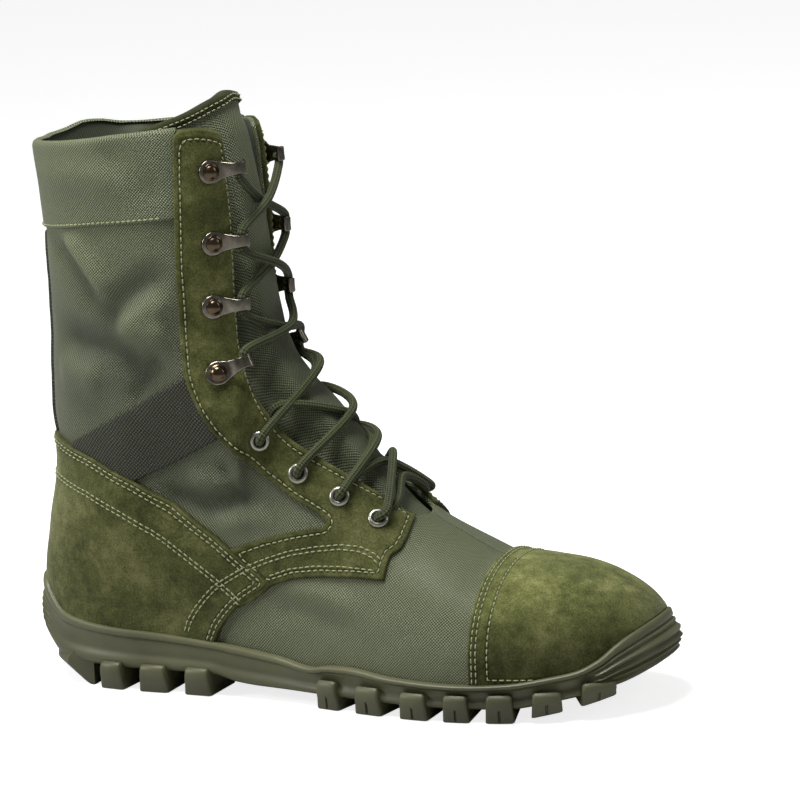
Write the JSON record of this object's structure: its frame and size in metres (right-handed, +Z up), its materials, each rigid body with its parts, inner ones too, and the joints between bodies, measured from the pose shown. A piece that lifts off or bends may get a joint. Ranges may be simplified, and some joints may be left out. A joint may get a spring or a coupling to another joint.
{
  "type": "jungle boot, right foot",
  "caption": "Olive jungle boot for the right foot: suede and nylon upper, hook and eyelet lacing, moulded lug sole.",
  "frame": {"origin": "On the floor under the middle of the heel: the flat foot of the lug in the heel's middle.", "axes": "+X from heel to toe, +Y to the inner (medial) side, +Z up from the floor."},
  "size_m": [0.2933, 0.1034, 0.2594],
  "materials": {
    "rubber": "matt moulded olive drab",
    "lining": "felt over foam",
    "fabric": "close woven nylon, soft sheen",
    "suede": "brushed split suede",
    "webbing": "coarse nylon webbing",
    "lace": "round braided cord",
    "nickel": "antique gunmetal nickel"
  },
  "bodies": {
    "root": {"sole": "rubber", "insole": "lining", "upper": "fabric", "toe_cap": "suede", "heel_counter": "suede", "eyestay_lateral": "suede", "eyestay_medial": "suede", "ankle_web_lateral": "webbing", "ankle_web_medial": "webbing", "collar_band": "fabric", "back_stay": "webbing", "tongue": "fabric", "tongue_binding": "suede", "eyelet_lateral_1": "nickel", "hook_lateral_1": "nickel", "rivet_lateral_1": "nickel", "eyelet_lateral_2": "nickel", "hook_lateral_2": "nickel", "rivet_lateral_2": "nickel", "eyelet_lateral_3": "nickel", "hook_lateral_3": "nickel", "rivet_lateral_3": "nickel", "eyelet_lateral_4": "nickel", "hook_lateral_4": "nickel", "rivet_lateral_4": "nickel", "eyelet_medial_1": "nickel", "hook_medial_1": "nickel", "rivet_medial_1": "nickel", "eyelet_medial_2": "nickel", "hook_medial_2": "nickel", "rivet_medial_2": "nickel", "eyelet_medial_3": "nickel", "hook_medial_3": "nickel", "rivet_medial_3": "nickel", "eyelet_medial_4": "nickel", "hook_medial_4": "nickel", "rivet_medial_4": "nickel", "lace_crossing_1": "lace", "lace_crossing_2": "lace", "lace_crossing_3": "lace", "lace_crossing_4": "lace", "lace_crossing_5": "lace", "lace_crossing_6": "lace", "lace_crossing_7": "lace", "lace_bar": "lace"}
  },
  "joints": []
}
